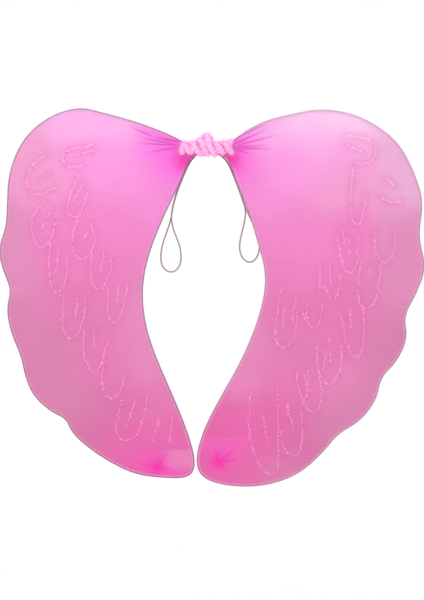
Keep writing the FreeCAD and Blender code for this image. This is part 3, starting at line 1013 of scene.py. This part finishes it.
def make_toe(side):
    """The tied toe on the back: a pleated rosette and the turns of thread round its neck."""
    x, z = TIP_CENTRE[side]
    node_low, node_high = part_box(side + "_tip_gather")
    base_y = node_low.y / MM
    height = (node_high.y - node_low.y) / MM
    profile = [(8.5, -0.6), (5.4, 0.2), (3.4, 0.9), (2.3, 1.9), (2.1, 2.6), (2.4, 3.3), (3.6, 4.2),
               (4.9, height), (4.5, height + 0.4), (3.2, height - 0.5), (1.4, height - 1.3)]
    steps = 120
    angles = np.arange(steps) * 2 * math.pi / steps
    points = []
    for i, (radius, lift) in enumerate(profile):
        open_share = smooth(np.array([radius]), 2.2, 5.0)[0]
        pleat = 1 + (0.07 + 0.15 * open_share) * np.sin(11 * angles + 0.5 * i)
        ruffle = 0.5 * open_share * np.cos(11 * angles) * (1 if i > 4 else 0)
        points.append(np.stack([x + radius * pleat * np.cos(angles), base_y + lift + ruffle,
                                z + radius * pleat * np.sin(angles)], axis=1))
    points = np.concatenate(points)
    faces = []
    for i in range(len(profile) - 1):
        for j in range(steps):
            k = (j + 1) % steps
            faces.append((i * steps + j, i * steps + k, (i + 1) * steps + k, (i + 1) * steps + j))
    last = (len(profile) - 1) * steps
    faces.append(tuple(range(last, last + steps)))
    colours = np.tile(np.append(TOE, 0.98), (len(points), 1))
    toe = mesh_piece(side + "_toe_rosette", points, faces, NYLON, colours)
    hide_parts(side + "_tip_gather")
    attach(toe, side + "_wing")
    turns = 3.5
    t = np.linspace(0, turns * 2 * math.pi, 120)
    line = np.stack([x + 2.55 * np.cos(t), base_y + 1.9 + 1.2 * t / t[-1], z + 2.55 * np.sin(t)], axis=1)
    points, faces = tube(line, 0.28, 6)
    thread = mesh_piece(side + "_toe_thread", points, faces, THREAD)
    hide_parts(side + "_tip_thread")
    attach(thread, side + "_wing")


# ---------------------------------------------------------------- fluffy strip

FLUFF_TINTS = [linear(c) for c in ("FFC6EE", "FFBCE8", "FFDCF8", "F79CD4")]
FLUFF_SHARES = (0.42, 0.26, 0.24, 0.08)
FLUFF_ROSY = linear("F6B2E2")
HAIR_GLOW = 0.5
HUB_SPAN = (-7.0, 8.5)

# How the strip is wound: (turns so far, X, distance of its middle from the hub's axis)
WINDING = [(0, -32, 2.4), (4.5, 33, 2.8), (9.1, -32, 4.6), (11.5, -9, 4.8), (13.9, 13, 4.8),
           (15.8, 34, 4.6)]
# Where it is thrown high over the top: (X, height, width)
HUMPS = [(2.5, 8.8, 3.4), (-5.0, 4.5, 6.0), (29.0, 4.0, 4.5)]
# How far the last turns lean, from the lower right to the upper left
LEAN = 0.5


def strip_line():
    """The fluffy strip's middle line, wound there, back and there again round the roots and the hub."""
    turn = np.linspace(0, WINDING[-1][0], 1400)
    turns, places, radii = zip(*WINDING)
    x = np.interp(turn, turns, places)
    radius = np.interp(turn, turns, radii)
    soften = np.hanning(91)
    soften /= soften.sum()
    x = np.convolve(np.pad(x, 45, mode="edge"), soften, mode="valid")
    angle = 2 * math.pi * turn
    rise = -np.sin(angle)
    z = radius * rise
    leaning = x - LEAN * z * smooth(turn, 9.0, 9.6) + 0.9 * np.sin(angle * 0.37)
    for place, height, width in HUMPS:
        z = z + height * np.exp(-((x - place) / width) ** 2) * smooth(rise, 0.0, 1.0)
    return np.stack([leaning, WING_Y - radius * np.cos(angle), z + 0.5], axis=1)


def runs_within(line, low, high):
    """The unbroken stretches of a line whose X is between low and high."""
    kept = (line[:, 0] >= low) & (line[:, 0] <= high)
    breaks = np.flatnonzero(np.diff(kept.astype(int))) + 1
    parts = zip(np.split(line, breaks), np.split(kept, breaks))
    return [part for part, flags in parts if flags[0] and len(part) > 4]


HAIRS_PER_MM = 42
HAIR_LENGTH = 3.9
HAIR_ROOT = 2.6
PILE_RADIUS = 3.7


def hairs(line, rng):
    """Tapered hairs that stand out round a line, each bent its own way."""
    tangents, across, beside = carried_frames(line)
    run = np.linalg.norm(np.diff(line, axis=0), axis=1).sum()
    count = int(run * HAIRS_PER_MM)
    at = rng.integers(0, len(line), count)
    angle = rng.uniform(0, 2 * math.pi, count)
    out = across[at] * np.cos(angle)[:, None] + beside[at] * np.sin(angle)[:, None]
    out = out + tangents[at] * rng.normal(0, 0.45, count)[:, None]
    out /= np.linalg.norm(out, axis=1)[:, None]
    size = HAIR_LENGTH * rng.uniform(0.55, 1.25, count)
    bend = rng.normal(0, 0.28, (count, 3))
    start = line[at] + out * HAIR_ROOT
    middle = start + (out * 0.55 + bend * 0.3) * size[:, None]
    tip = start + (out + bend) * size[:, None]
    wide = np.cross(out, rng.normal(0, 1, (count, 3)))
    wide /= np.linalg.norm(wide, axis=1)[:, None]
    half = rng.uniform(0.10, 0.2, count)[:, None]
    points = np.stack([start - wide * half, start + wide * half, middle - wide * half * 0.8,
                       middle + wide * half * 0.8, tip], axis=1).reshape(-1, 3)
    faces = []
    for i in range(count):
        k = i * 5
        faces.append((k, k + 1, k + 3, k + 2))
        faces.append((k + 2, k + 3, k + 4))
    tints = np.array(FLUFF_TINTS)[rng.choice(len(FLUFF_TINTS), count, p=FLUFF_SHARES)]
    through = np.full((count, 1), HAIR_GLOW)
    return points, faces, np.repeat(np.concatenate([tints, through], axis=1), 5, axis=0)


def make_fluff(rng):
    line = strip_line()
    overlap = 0.3
    spans = {
        "left": (-60.0, HUB_SPAN[0] + overlap),
        "hub": (HUB_SPAN[0] - overlap, HUB_SPAN[1] + overlap),
        "right": (HUB_SPAN[1] - overlap, 60.0),
    }
    for key, span in spans.items():
        shapes, colours = [], []
        for part in runs_within(line, *span):
            wobble = 1 + 0.12 * np.sin(np.arange(len(part)) * 0.9)
            core = tube(part, PILE_RADIUS * wobble, 12)
            hair_points, hair_faces, hair_colours = hairs(part, rng)
            shapes += [core, (hair_points, hair_faces)]
            colours += [np.tile([*FLUFF_TINTS[0], 0.0], (len(core[0]), 1)), hair_colours]
        points, faces = joined(shapes)
        rosy = 0.55 * np.maximum(smooth(points[:, 0], 8, 16), smooth(-points[:, 0], 20, 30))
        colours = np.concatenate(colours)
        colours[:, :3] = mix(colours[:, :3], FLUFF_ROSY, rosy)
        name = "hub_fluff" if key == "hub" else key + "_root_fluff"
        piece = mesh_piece(name, points, faces, FLUFF, colours)
        if key == "hub":
            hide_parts("hub_fluffy_trim")
            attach(piece, "hub")
        else:
            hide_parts(key + "_neck_fluff")
            join_at_hub(piece)


# ---------------------------------------------------------------- everything

make_camera()
for side in SIDES:
    make_strap(side)
make_stage()

rng = np.random.default_rng(7)
for side in SIDES:
    net = wing_net(side)
    stocking = make_nylon(side, net)
    make_wire(side)
    make_glitter(side, rng)
    make_toe(side)
make_fluff(rng)

finish_nodes(["hub_binding_tape"], TAPE)
finish_nodes([side + "_wire_ends" for side in SIDES], WIRE)
finish_nodes([side + "_elastic_hitch" for side in SIDES], ELASTIC)
finish_nodes([side + "_root_thread" for side in SIDES], THREAD)

bpy.context.view_layer.update()
